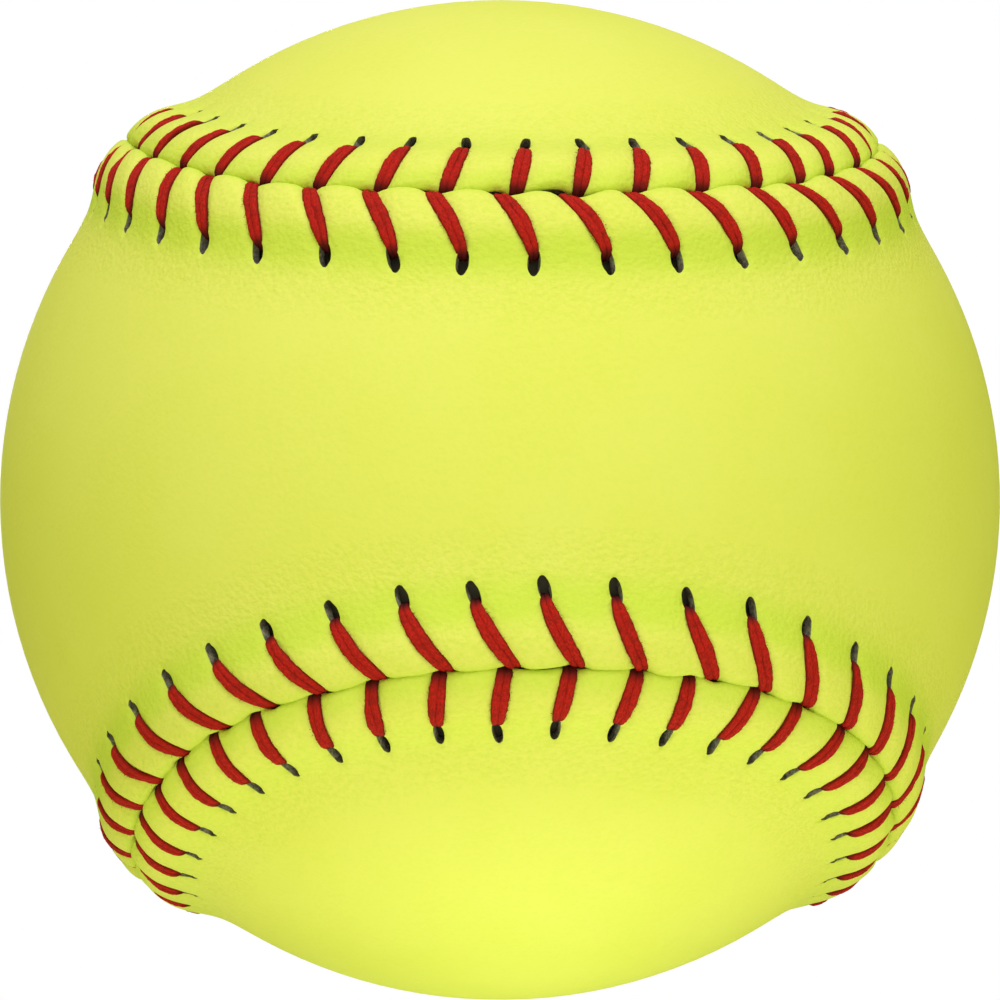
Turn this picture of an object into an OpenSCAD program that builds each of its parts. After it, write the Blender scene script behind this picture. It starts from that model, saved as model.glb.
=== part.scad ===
// Softball: a moulded core, a coat of cement, two leather panels and the hand stitching that closes them.
// The origin is the centre of the ball and +Z is up. The front panel's waist faces -Y and its two lobes
// lie round +X and -X. The back panel's waist faces +Y and its lobes lie round +Z and -Z.

/* [Ball] */
// Diameter over the leather between the seams
ball_d = 96.3; // [88:0.1:130]
// Thickness of the leather cover
leather_t = 1.35; // [1.1:0.05:1.5]
// Thickness of the cement between the core and the cover
cement_t = 0.3; // [0.2:0.05:0.6]

/* [Seam line] */
// Part of the seam line's swing that comes from its three-lobed wave: more of it narrows the waists
seam_wave_share = 0.297; // [0.28:0.001:0.31]
// Part that comes from its five-lobed wave, which fills out the lobes
seam_fullness_share = 0.036; // [0.02:0.001:0.045]

/* [Raised lips] */
// Height of a lip's crest above the leather between the seams
lip_h = 2; // [1.6:0.1:2.6]
// Distance from the middle of the groove to the crest
crest_w = 2.5; // [2.2:0.1:2.9]
// Distance from the middle of the groove to the foot of the lip
lip_w = 10.5; // [10:0.1:12]
// Gap between the two cut edges, where the thread goes down
groove_gap = 1.1; // [1.1:0.05:1.4]

/* [Stitching] */
// Stitches along each eighth of the seam, 11 of them for 88 round each panel
stitches_per_eighth = 11; // [9:1:12]
// Distance from the middle of the groove to the middle of a hole
hole_w = 6.5; // [6.3:0.1:7.5]
// Length of a hole across the seam
hole_l = 2.2; // [2.1:0.1:2.8]
// Width of a hole along the seam
hole_slot = 1; // [0.9:0.05:1.3]
// Width of the flat thread where it lies on a lip
thread_w = 1.6; // [1.2:0.1:2]
// Thickness of the thread
thread_t = 0.7; // [0.5:0.05:0.75]

/* [Hidden] */

// Smoothness of the two true spheres
sphere_sides = 96;
// Straight facets across a panel, between its two feet
panel_strips = 10;
// Room that the facets of the leather leave over the cement
bond_gap = 0.2;
// Room between the thread and the leather it lies on
thread_rub = 0.05;

ball_r = ball_d / 2;
cement_r = ball_r - leather_t - bond_gap;
core_r = cement_r - cement_t;

stitches = 8 * stitches_per_eighth;
edge_w = groove_gap / 2;
hole_near_w = hole_w - hole_l / 2;
hole_far_w = hole_w + hole_l / 2;

// Height of the lip's outer face, as shares of the lip's width and of its height
lip_height_shares = [[0, 0.5], [0.05, 0.55], [0.115, 0.88], [0.24, 1], [0.38, 0.84], [0.515, 0.585], [0.725, 0.155], [1, 0]];
// Shoulder of the lip, between the cut edge and the crest
shoulder_share = 0.48;

// Places of the holes and of the thread in the groove, counted in stitches along the seam
front_hole_share = 0.04;
back_hole_share = 0.15;
front_groove_share = 0.54;
back_groove_share = 0.33;
// Thread drawn thin where it passes a hole or the groove
hole_thread_share = 0.75;
groove_thread_share = 0.5;

FRONT = 1;
BACK = -1;

function unit(v) = v / norm(v);

// Direction of the seam line from the centre, for a parameter of 0 to 360 degrees
function seam_dir(t) =
    let (
        big = 1 - seam_wave_share,
        lift = 2 * sqrt(big * seam_wave_share),
        u = big * cos(t) + seam_wave_share * cos(3 * t) - seam_fullness_share * cos(5 * t),
        v = big * sin(t) - seam_wave_share * sin(3 * t) - seam_fullness_share * sin(5 * t)
    )
    unit([(u - v) / sqrt(2), -lift * sin(2 * t), (u + v) / sqrt(2)]);

// Degrees of the parameter on each side of a place that give the seam's heading there
heading_step = 0.25;

// Length along the seam against its parameter, on a ball of radius one
seam_samples = 720;
seam_dirs = [for (i = [0:seam_samples + 1]) seam_dir(360 * i / seam_samples)];
seam_table = [
    for (i = 0, s = 0; i <= seam_samples; s = s + norm(seam_dirs[i + 1] - seam_dirs[i]), i = i + 1)
        [s, 360 * i / seam_samples]
];
seam_length = seam_table[seam_samples][0];
stitch_pitch = seam_length * ball_r / stitches;

// Seam direction, heading and sideways direction towards the front panel, at a place counted in stitches
function seam_frame(place) =
    let (
        turns = floor(place / stitches),
        t = lookup((place / stitches - turns) * seam_length, seam_table),
        p = seam_dir(t),
        ahead = seam_dir(t + heading_step) - seam_dir(t - heading_step),
        s = unit(ahead - (ahead * p) * p)
    )
    [p, s, cross(p, s)];

// Point at a distance across the seam and a height over the smooth leather
function over_seam(frame, across, height) =
    let (turn = across / ball_r * 180 / PI)
    (ball_r + height) * (cos(turn) * frame[0] + sin(turn) * frame[2]);

function outer_h(w) = lip_h * lookup(w / lip_w, lip_height_shares);
function inner_h(w) = outer_h(w) - leather_t;
function hole_place(side) = side == FRONT ? front_hole_share : back_hole_share;
function groove_place(side) = side == FRONT ? front_groove_share : back_groove_share;

// Four corners as two triangles, turned over where the side asks
function facet(a, b, c, d, flip) = flip ? [[a, b, c], [a, c, d]] : [[a, c, b], [a, d, c]];

// Rows of points along the seam, from the cut edge to the far end of the holes: outer face, then inner face
outer_ws = [edge_w, crest_w * shoulder_share, crest_w, (crest_w + hole_near_w) / 2, hole_near_w, hole_far_w];
inner_ws = [edge_w, crest_w, hole_near_w, hole_far_w];
outer_rows = len(outer_ws);
inner_rows = len(inner_ws);
lip_profile = concat([for (w = outer_ws) [w, outer_h(w)]], [for (w = inner_ws) [w, inner_h(w)]]);

// A panel is one closed skin: lips with slotted holes, then strips straight across between its two feet
module leather_panel(side) {
    columns = 2 * stitches;
    half = stitches / 2;
    tip = side == FRONT ? 3 * stitches_per_eighth : stitches_per_eighth;
    lip_frames = [
        for (j = [0:columns - 1])
            seam_frame(floor(j / 2) + hole_place(side) + (j % 2 - 0.5) * hole_slot / stitch_pitch)
    ];
    foot_frames = [for (i = [0:stitches - 1]) seam_frame(i)];
    lip_points = [for (row = lip_profile, frame = lip_frames) over_seam(frame, side * row[0], row[1])];
    foot_dirs = [for (frame = foot_frames) unit(over_seam(frame, side * lip_w, 0))];
    middle_dirs = [
        for (k = [1:half - 1], m = [1:panel_strips - 1])
            let (
                from = foot_dirs[(tip - k + stitches) % stitches],
                to = foot_dirs[(tip + k) % stitches],
                span = acos(from * to),
                share = m / panel_strips
            )
            (sin((1 - share) * span) * from + sin(share * span) * to) / sin(span)
    ];
    face_dirs = concat(foot_dirs, middle_dirs);
    outer_face = [for (d = face_dirs) ball_r * d];
    inner_face = [for (d = face_dirs) (ball_r - leather_t) * d];

    outer_start = len(lip_points);
    inner_start = outer_start + len(face_dirs);
    inner_row = outer_rows;

    function lip_at(row, j) = row * columns + (j + columns) % columns;
    function foot_at(start, i) = start + (i + stitches) % stitches;
    function face_at(start, k, m) =
        k == 0 ? foot_at(start, tip) :
        k == half ? foot_at(start, tip + half) :
        m == 0 ? foot_at(start, tip - k) :
        m == panel_strips ? foot_at(start, tip + k) :
        start + stitches + (k - 1) * (panel_strips - 1) + m - 1;
    function is_hole(row, last, j) = row == last && j % 2 == 0;

    out = side == BACK;
    function row_facets(first, count, flip) = [
        for (row = [first:first + count - 2], j = [0:columns - 1])
            if (!is_hole(row, first + count - 2, j))
                each facet(lip_at(row, j), lip_at(row, j + 1), lip_at(row + 1, j + 1), lip_at(row + 1, j), flip)
    ];
    function foot_facets(row, start, flip) = [
        for (i = [0:stitches - 1])
            each concat(
                facet(lip_at(row, 2 * i), lip_at(row, 2 * i + 1), foot_at(start, i), foot_at(start, i), flip),
                facet(lip_at(row, 2 * i + 1), lip_at(row, 2 * i + 2), foot_at(start, i + 1), foot_at(start, i), flip)
            )
    ];
    function face_facets(start, flip) = [
        for (k = [0:half - 1], m = [0:panel_strips - 1])
            each facet(
                face_at(start, k, m), face_at(start, k, m + 1),
                face_at(start, k + 1, m + 1), face_at(start, k + 1, m), flip
            )
    ];
    edge_facets = [
        for (j = [0:columns - 1])
            each facet(lip_at(inner_row, j), lip_at(inner_row, j + 1), lip_at(0, j + 1), lip_at(0, j), out)
    ];
    hole_facets = [
        for (i = [0:stitches - 1])
            let (
                top = outer_rows - 2,
                low = outer_rows + inner_rows - 2,
                j = 2 * i,
                ring = [[0, 0], [0, 1], [1, 1], [1, 0]]
            )
            for (c = [0:3])
                let (a = ring[c], b = ring[(c + 1) % 4])
                each facet(
                    lip_at(top + a[0], j + a[1]), lip_at(top + b[0], j + b[1]),
                    lip_at(low + b[0], j + b[1]), lip_at(low + a[0], j + a[1]), out
                )
    ];
    facets = concat(
        row_facets(0, outer_rows, out),
        foot_facets(outer_rows - 1, outer_start, out),
        face_facets(outer_start, out),
        row_facets(inner_row, inner_rows, !out),
        foot_facets(outer_rows + inner_rows - 1, inner_start, !out),
        face_facets(inner_start, !out),
        edge_facets,
        hole_facets
    );
    polyhedron(
        points = concat(lip_points, outer_face, inner_face),
        faces = [for (f = facets) if (f[0] != f[1] && f[1] != f[2] && f[2] != f[0]) f],
        convexity = 8
    );
}

// Places of the thread through one stitch: share of the way along the seam from the hole to the groove,
// distance across, height, width and thickness. The thread comes up through the hole, lies over the lip,
// goes down the groove and starts under the other lip.
under_h = (inner_h(hole_near_w) + cement_r - ball_r) / 2;
lie_h = thread_t / 2 + thread_rub;
slim_w = hole_slot * hole_thread_share;
groove_w = thread_w * groove_thread_share;
stitch_places = [
    [-0.02, hole_near_w - thread_t / 3, under_h, slim_w, thread_t * 0.8],
    [0, hole_far_w - thread_t * 0.85, (outer_h(hole_w) + inner_h(hole_w)) / 2, slim_w, thread_t * 0.8],
    [0.03, hole_near_w - thread_t / 6, outer_h(hole_near_w) + lie_h * 1.6, slim_w, thread_t * 0.8],
    [0.5, crest_w, outer_h(crest_w) + lie_h * 1.1, thread_w, thread_t],
    [0.75, crest_w * shoulder_share, outer_h(crest_w * shoulder_share) + lie_h * 1.2, thread_w * 0.9, thread_t],
    [1, -edge_w / 5, outer_h(edge_w), groove_w, thread_t],
    [1.02, -edge_w / 5, inner_h(edge_w) - lie_h * 1.2, groove_w, thread_t * 0.7]
];
// The last place of the thread's tail, tucked under the lip
tail_share = 1.5;
tail_place = [tail_share, -crest_w, under_h, slim_w, thread_t * 0.8];

function stitch_centre(i, side, place) =
    let (
        from = hole_place(side),
        to = groove_place(side),
        frame = seam_frame(i + from + place[0] * (to - from))
    )
    [over_seam(frame, side * place[1], place[2]), frame[1], place[3], place[4]];

// One run of thread: its stitches fall on the two sides of the groove in turn
module thread_run(first_side) {
    rings = concat(
        [
            for (i = [0:stitches - 1], place = stitch_places)
                stitch_centre(i, i % 2 == 0 ? first_side : -first_side, place)
        ],
        [stitch_centre(stitches - 1, -first_side, tail_place)]
    );
    last = len(rings) - 1;
    corners = [[-1, -1], [1, -1], [1, 1], [-1, 1]];
    points = [
        for (i = [0:last])
            let (
                way = unit(rings[min(i + 1, last)][0] - rings[max(i - 1, 0)][0]),
                wide = unit(rings[i][1] - (rings[i][1] * way) * way),
                thick = cross(way, wide)
            )
            for (c = corners)
                rings[i][0] + c[0] * rings[i][2] / 2 * wide + c[1] * rings[i][3] / 2 * thick
    ];
    faces = concat(
        [[0, 1, 2], [0, 2, 3]],
        [
            for (i = [0:last - 1], c = [0:3])
                each facet(4 * i + c, 4 * i + (c + 1) % 4, 4 * i + 4 + (c + 1) % 4, 4 * i + 4 + c, false)
        ],
        [[4 * last, 4 * last + 2, 4 * last + 1], [4 * last, 4 * last + 3, 4 * last + 2]]
    );
    polyhedron(points = points, faces = faces, convexity = 10);
}

module core() {
    color("ivory") sphere(r = core_r, $fn = sphere_sides);
}

module cement_coat() {
    color("burlywood") difference() {
        sphere(r = cement_r, $fn = sphere_sides);
        sphere(r = core_r, $fn = sphere_sides);
    }
}

module front_cover_panel() {
    color("greenyellow") leather_panel(FRONT);
}

module back_cover_panel() {
    color("greenyellow") leather_panel(BACK);
}

module first_thread() {
    color("crimson") thread_run(FRONT);
}

module second_thread() {
    color("crimson") thread_run(BACK);
}

core();
cement_coat();
front_cover_panel();
back_cover_panel();
first_thread();
second_thread();
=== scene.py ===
import math
from types import SimpleNamespace

import bmesh
import bpy
import numpy as np
from bpy.props import FloatProperty, FloatVectorProperty, IntProperty, PointerProperty
from mathutils import Matrix, Vector


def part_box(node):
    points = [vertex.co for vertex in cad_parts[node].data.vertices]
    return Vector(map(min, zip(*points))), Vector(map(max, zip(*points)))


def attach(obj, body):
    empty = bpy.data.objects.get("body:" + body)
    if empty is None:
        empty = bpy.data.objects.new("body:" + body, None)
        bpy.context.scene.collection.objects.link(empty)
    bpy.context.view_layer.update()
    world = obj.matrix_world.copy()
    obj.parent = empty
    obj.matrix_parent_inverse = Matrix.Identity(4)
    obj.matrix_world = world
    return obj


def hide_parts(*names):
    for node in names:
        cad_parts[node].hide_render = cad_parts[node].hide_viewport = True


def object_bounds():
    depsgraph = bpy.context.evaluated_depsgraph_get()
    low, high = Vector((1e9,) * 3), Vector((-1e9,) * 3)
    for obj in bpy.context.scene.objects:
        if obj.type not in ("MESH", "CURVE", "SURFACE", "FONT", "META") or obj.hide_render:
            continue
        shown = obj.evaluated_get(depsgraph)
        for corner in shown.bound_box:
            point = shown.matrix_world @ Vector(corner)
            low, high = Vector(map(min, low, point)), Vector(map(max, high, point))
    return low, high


bl_info = {
    "name": "Stitched Softball",
    "version": (1, 0, 0),
    "blender": (4, 5, 0),
    "location": "View3D > Sidebar > Softball",
    "description": "Dresses a softball with puckered leather panels and two runs of hand-sewn thread",
    "category": "Add Mesh",
}

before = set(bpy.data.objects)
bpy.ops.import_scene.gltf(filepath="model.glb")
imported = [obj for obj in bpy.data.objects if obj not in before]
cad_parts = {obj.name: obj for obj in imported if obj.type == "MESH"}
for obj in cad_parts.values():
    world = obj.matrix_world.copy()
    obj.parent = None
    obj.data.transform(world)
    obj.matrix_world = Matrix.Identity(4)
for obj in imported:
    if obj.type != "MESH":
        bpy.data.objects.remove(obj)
CAD_BOX = [list(corner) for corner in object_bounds()]

# The smooth leather between the seams has the radius of the front panel's waist
BALL_RADIUS = -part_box("front_cover_panel")[0].y
MM = 0.001

# Sides of the seam line: the front panel lies on its left hand as the stitches are counted
FRONT = 1
BACK = -1

# Faces along each stitch of a lip: across a hole, and from one hole to the next
HOLE_COLUMNS = 5
PLAIN_COLUMNS = 11
STITCH_COLUMNS = HOLE_COLUMNS + PLAIN_COLUMNS
# Faces along each stitch beyond the lip, and across the middle of a panel
APRON_COLUMNS = 4
FILL_ROWS = 24
# Leather beyond the holes that still moves with them
HOLE_MARGIN = 1.1 * MM

# The seam map gives the distance across the lip in millimetres. The rest of a panel is marked there
FILL_MARK = 15
INNER_MARK = 20
WALL_RIM_MARK = 30
WALL_FOOT_MARK = 31
INNER_FILL_MARK = 35

# Place of the raw leather in a panel's list of materials, after the dyed leather
RAW = 1

# How the stitches of the two lips differ: the seed of their strays, how their slant changes round the
# ball, how far their holes lean, and the share of their length that the holes lose where the seam bends
SIDES = {
    FRONT: SimpleNamespace(name="front", seed=41, slant_change=-0.03, lean=0.14, shortening=0.1),
    BACK: SimpleNamespace(name="back", seed=57, slant_change=0.045, lean=0.0, shortening=0.26),
}


# Seam line

class SeamLine:
    """The line where the two panels meet on the ball. A place on it is counted in stitches.

    The stitches lie a little closer together along the waists of the panels than round their lobes.
    """

    samples = 7200

    def __init__(self, radius, wave, fullness, stitches, crowding):
        t = np.linspace(0, math.tau, self.samples + 1)
        big = 1 - wave
        lift = 2 * math.sqrt(big * wave)
        u = big * np.cos(t) + wave * np.cos(3 * t) - fullness * np.cos(5 * t)
        v = big * np.sin(t) - wave * np.sin(3 * t) - fullness * np.sin(5 * t)
        line = np.stack([(u - v) / math.sqrt(2), -lift * np.sin(2 * t), (u + v) / math.sqrt(2)], 1)
        self.out = unit(line)
        steps = np.linalg.norm(np.diff(self.out, axis=0), axis=1)
        reach = np.concatenate([[0], np.cumsum(steps)])
        self.radius = radius
        self.stitches = stitches
        self.pitch = reach[-1] * radius / stitches
        self.places = reach / reach[-1] * stitches
        self.crowding = crowding
        ahead = np.roll(self.out[:-1], -1, 0) - np.roll(self.out[:-1], 1, 0)
        self.ahead = unit(np.concatenate([ahead, ahead[:1]]))

    def frames(self, place):
        """Directions out of the ball, along the seam and towards the front panel, at each place."""
        turn = 2 * math.tau * (place - self.stitches / 8) / self.stitches
        place = np.mod(place - self.crowding * np.sin(turn), self.stitches)
        out = unit(self._between(self.out, place))
        ahead = self._between(self.ahead, place)
        ahead = unit(ahead - np.sum(ahead * out, 1)[:, None] * out)
        return out, ahead, np.cross(out, ahead)

    def point(self, place, across, height):
        """Points at distances across the seam, towards the front panel, and heights over the leather."""
        out, _, over = self.frames(place)
        turn = across / self.radius
        return (self.radius + height)[:, None] * steer(np.cos(turn), out, np.sin(turn), over)

    def _between(self, rows, place):
        return np.stack([np.interp(place, self.places, rows[:, k]) for k in range(3)], 1)


def unit(rows):
    return rows / np.linalg.norm(rows, axis=-1)[..., None]


def steer(a, first, b, second):
    """Adds a of the first direction to b of the second, row by row."""
    return a[:, None] * first + b[:, None] * second


def waves(place, stitches, seed, low, high):
    """A smooth wander of about -1 to 1 that closes on itself round the seam."""
    draw = np.random.default_rng(seed)
    total = np.zeros_like(place, dtype=float)
    for count in range(low, high):
        total += draw.normal() * np.cos(math.tau * (count * place / stitches + draw.random()))
    return total / math.sqrt((high - low) / 2) / 1.6


def soft_step(x, low, high):
    """0 at low, 1 at high, and smooth between. low may be the larger."""
    t = np.clip((x - low) / (high - low), 0, 1)
    return t * t * (3 - 2 * t)


def bell(x, width):
    """1 at 0, falling away on both sides, and about a third at the width."""
    return np.exp(-(x / width) ** 2)


# Lips and stitches

class Lip:
    """The raised edge of one panel: where its stitches lie, and how the thread shapes the leather."""

    # Strays of a stitch: its place and slant in stitches, its lean as a slope, and its press as a share
    place_stray = 0.022
    slant_stray = 0.04
    lean_stray = 0.09
    press_stray = 0.12
    # Stray of a hole's distance from the groove
    reach_stray = 0.10 * MM
    # The share of their width that the holes lose where the seam bends
    narrowing = 0.15
    # How far the front holes wander round the ball, in stitches
    front_drift = 0.01

    def __init__(self, side, seam, sizes, thread):
        self.side = side
        self.seam = seam
        self.sizes = sizes
        count = seam.stitches
        front = side == FRONT
        habits = SIDES[side]
        draw = np.random.default_rng(habits.seed)
        turn = math.tau * (np.arange(count) - count / 8) / count
        self.base = getattr(thread, habits.name + "_hole")
        drift = (self.front_drift if front else -thread.hole_drift) * np.cos(turn)
        drift = drift + getattr(thread, habits.name + "_swing") * np.sin(2 * turn)
        self.hole_places = np.arange(count) + self.base + drift + draw.normal(0, self.place_stray, count)
        # The front holes stand further from the groove at the narrow waist of their panel
        waist = (0.5 + 0.5 * side * np.cos(2 * turn)) ** 20
        self.reach = front * thread.waist_reach * waist + draw.normal(0, self.reach_stray, count)
        # Between a waist and a lobe, where the seam bends, the holes are shorter and narrower
        bend = np.sin(2 * turn) ** 2
        self.shorter = habits.shortening * bend
        self.narrower = self.narrowing * bend
        self.mean_slant = getattr(thread, habits.name + "_slant")
        self.slants = self.mean_slant + habits.slant_change * np.cos(turn)
        self.slants = self.slants + draw.normal(0, self.slant_stray, count)
        self.lean = habits.lean + draw.normal(0, self.lean_stray, count)
        self.press = np.clip(1 + draw.normal(0, self.press_stray, count), 0.6, 1.4)
        self.hole_across = getattr(sizes, habits.name + "_hole_across")
        self.hole_length = getattr(sizes, habits.name + "_hole_length")
        self.near = self.hole_across - self.hole_length / 2
        self.far = self.hole_across + self.hole_length / 2

    def along(self, across):
        """Share of a leg's slant that it has taken up at a distance across the lip."""
        near = np.clip(across / self.hole_across, 0, 1)
        return (1 - near) ** 1.35

    def leg_place(self, index, across):
        """Where a leg's middle lies along the seam, at a distance across the lip."""
        index = np.mod(index, self.seam.stitches)
        return self.hole_places[index] + self.slants[index] * self.along(across)

    def nearest_leg(self, place, across):
        """The nearest leg's number and the distance along the seam from its middle."""
        count = self.seam.stitches
        first = np.floor(place - self.base - self.mean_slant * self.along(across)).astype(int)
        best = np.full(place.shape, 1e9)
        number = np.zeros(place.shape, int)
        for step in (-1, 0, 1, 2):
            index = first + step
            turns = np.floor_divide(index, count)
            away = (place - self.leg_place(index, across) - turns * count) * self.seam.pitch
            closer = np.abs(away) < np.abs(best)
            best = np.where(closer, away, best)
            number = np.where(closer, np.mod(index, count), number)
        return number, best

    def plain_height(self, across):
        """Height of the lip with no thread on it."""
        s = self.sizes
        spread = np.where(across < s.crest_across, s.inner_spread, s.outer_spread)
        crest = s.lip_height * bell(across - s.crest_across, spread)
        short = np.clip(s.roll_radius - across, 0, s.roll_radius)
        roll = s.roll_radius - np.sqrt(s.roll_radius ** 2 - short ** 2)
        return crest - roll

    def height(self, place, across):
        """Height of the leather, pressed in under the thread and swollen between the stitches."""
        s = self.sizes
        number, away = self.nearest_leg(place, across)
        on_lip = soft_step(across, self.hole_across + 1.6 * MM, self.hole_across - 2.4 * MM)
        # The thread presses half as deep past the holes, and its dent ends on the lip's foot
        deep = s.press_depth * (0.45 + 0.55 * on_lip) * soft_step(across, 9.2 * MM, 6.2 * MM)
        under = np.exp(-(np.abs(away) / s.press_width) ** 3)
        # The leather swells between the stitches, most of all where they draw it into the groove
        swell = s.swell + s.groove_swell * bell(across, 2.2 * MM)
        swell = swell * on_lip * (1 - bell(away, 1.6 * MM))
        wander = 0.07 * MM * waves(place, self.seam.stitches, 90 + self.side, 20, 90) * on_lip
        return self.plain_height(across) - deep * self.press[number] * under + swell + wander

    def shift(self, place, across, other):
        """How far the thread draws the leather back from the middle of the groove."""
        s = self.sizes
        count = self.seam.stitches
        fade = bell(across, 1.9 * MM)
        _, own = self.nearest_leg(place, np.zeros_like(across))
        _, opposite = other.nearest_leg(place, np.zeros_like(across))
        open_own = 0.18 * MM * bell(own, 0.75 * MM)
        open_other = 0.09 * MM * bell(opposite, 0.7 * MM)
        # The edges touch, apart from a few slack stretches near the waists
        slack = (0.5 + 0.5 * np.cos(2 * math.tau * (place - count / 8) / count)) ** 8
        wander = waves(place, count, 4244, 6, 60) + slack
        gap = s.groove_gap / 2 + s.slack_gap * np.clip((wander - 1.4) / 0.5, 0, 1)
        # Each thread draws both edges its own way where it leaves the groove
        front, back = (own, opposite) if self.side == FRONT else (opposite, own)
        pull = s.pull * (bell(back, 1.5 * MM) - bell(front, 1.5 * MM))
        sway = self.side * (pull + 0.09 * MM * waves(place, count, 29, 10, 60))
        return (open_own + open_other + gap + sway) * fade


def make_lips(context):
    """The seam line and the two lips beside it, from the sizes in the sidebar."""
    ball = context.scene.softball_cover
    thread = context.scene.softball_thread
    seam = SeamLine(BALL_RADIUS, ball.wave, ball.fullness, ball.stitches, ball.crowding)
    return seam, {side: Lip(side, seam, ball, thread) for side in (FRONT, BACK)}


# Mesh helpers

def bent_grid(bm, columns, rows, bend, *maps):
    """Adds a grid of faces and bends it.

    bend turns the corners' columns and rows into points, and into two numbers for each UV map. The
    corners are numbered row by row.
    """
    made = bmesh.ops.create_grid(bm, x_segments=columns, y_segments=rows, size=1)
    verts = made["verts"]
    flat = np.array([v.co[:2] for v in verts])
    column = np.rint((flat[:, 0] + 1) / 2 * columns).astype(int)
    row = np.rint((flat[:, 1] + 1) / 2 * rows).astype(int)
    points, marks = bend(column, row)
    for number, (vert, point) in enumerate(zip(verts, points.tolist())):
        vert.co = point
        vert.index = number
    marks = marks.tolist()
    faces = {f for v in verts for f in v.link_faces}
    for face in faces:
        for loop in face.loops:
            mark = marks[loop.vert.index]
            for k, layer in enumerate(maps):
                loop[layer].uv = mark[2 * k:2 * k + 2]
    return verts


def finish_piece(bm, name, materials, sharp_degrees=50):
    """Turns the bmesh into an object whose faces are smooth apart from its sharp edges."""
    for face in bm.faces:
        face.smooth = True
    limit = math.radians(sharp_degrees)
    for edge in bm.edges:
        edge.smooth = edge.calc_face_angle(0) < limit
    mesh = bpy.data.meshes.new(name)
    bm.to_mesh(mesh)
    bm.free()
    for material in materials:
        mesh.materials.append(material)
    piece = bpy.data.objects.new(name, mesh)
    bpy.context.scene.collection.objects.link(piece)
    return piece


# Leather panels

def lip_rows(lip):
    """Distances across the lip of its outer rows, from the foot to the groove, and of its inner rows.

    edge holds the depths of the rows down the cut edge, as shares of the leather.
    """
    s, near, far = lip.sizes, lip.near, lip.far
    apron = far + HOLE_MARGIN
    roll = s.roll_radius * (1 - np.sin(np.linspace(0, math.pi / 2, 7)))
    outer = np.concatenate([
        np.linspace(apron, far, 4)[:-1],
        np.linspace(far, near, 9)[:-1],
        np.linspace(near, s.roll_radius, 15)[:-1],
        roll,
    ])
    inner = np.array([0.7 * MM, 1.6 * MM, s.crest_across, 4 * MM, near, far, apron])
    return SimpleNamespace(outer=outer, inner=inner, apron=apron, edge=np.array([0.25, 0.6, 1.0]))


def column_places(column, lip):
    """Places of the lip's columns along the seam: close together across each hole."""
    index = np.floor_divide(column, STITCH_COLUMNS)
    step = np.mod(column, STITCH_COLUMNS)
    half = lip.sizes.hole_width / lip.seam.pitch / 2
    in_hole = -half + 2 * half * step / HOLE_COLUMNS
    after = half + (1 - 2 * half) * (step - HOLE_COLUMNS) / PLAIN_COLUMNS
    return index + lip.base + np.where(step <= HOLE_COLUMNS, in_hole, after)


def oblong_holes(place, across, lip):
    """Moves the corners round each square hole onto a slot with round ends that leans with its thread."""
    pitch = lip.seam.pitch
    index = np.rint(place - lip.base).astype(int)
    number = np.mod(index, lip.seam.stitches)
    own = lip.hole_places[number] + (index - number)
    half = lip.sizes.hole_width / 2
    off = across - lip.hole_across
    # a runs from -1 to 1 across the hole, and b does so over its round ends
    a = (place - (index + lip.base)) * pitch / half
    taper = 1.15 * MM
    b = np.sign(off) * np.maximum(np.abs(off) - (lip.hole_length / 2 - taper), 0) / taper
    ring = np.maximum(np.maximum(np.abs(a), np.abs(b)), 1e-9)
    square = np.minimum(1 / ring, 1)
    ea, eb = a * square, b * square
    fade = np.clip(1 - (ring - 1) / 1.6, 0, 1)
    move_a = (ea * np.sqrt(1 - eb ** 2 / 2) * (1 - lip.narrower[number]) - ea) * fade
    move_b = (eb * np.sqrt(1 - ea ** 2 / 2) - eb) * fade
    far_fade = np.clip(1 - (np.abs(off) - lip.hole_length / 2) / HOLE_MARGIN, 0, 1)
    near_column = np.clip(1 - (np.abs(a) - 1) / 3, 0, 1)
    settle = far_fade * near_column
    lean = -lip.lean[number] * off / pitch * fade
    new_place = place + move_a * half / pitch + settle * (own - (index + lip.base)) + lean
    # The near end stays under the thread and the far end moves
    toward_far = np.clip(0.5 + off / lip.hole_length, 0, 1)
    shrink = lip.shorter[number] * lip.hole_length * toward_far
    new_across = across + move_b * taper + settle * (lip.reach[number] - shrink)
    # The leather turns down at the hole and stands up a little round it
    radial = np.sqrt(a ** 2 + b ** 2)
    rim = 0.05 * MM * bell(radial - 1.6, 0.4) - 0.10 * MM * bell(radial - 1, 0.3)
    return new_place, new_across, rim


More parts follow.
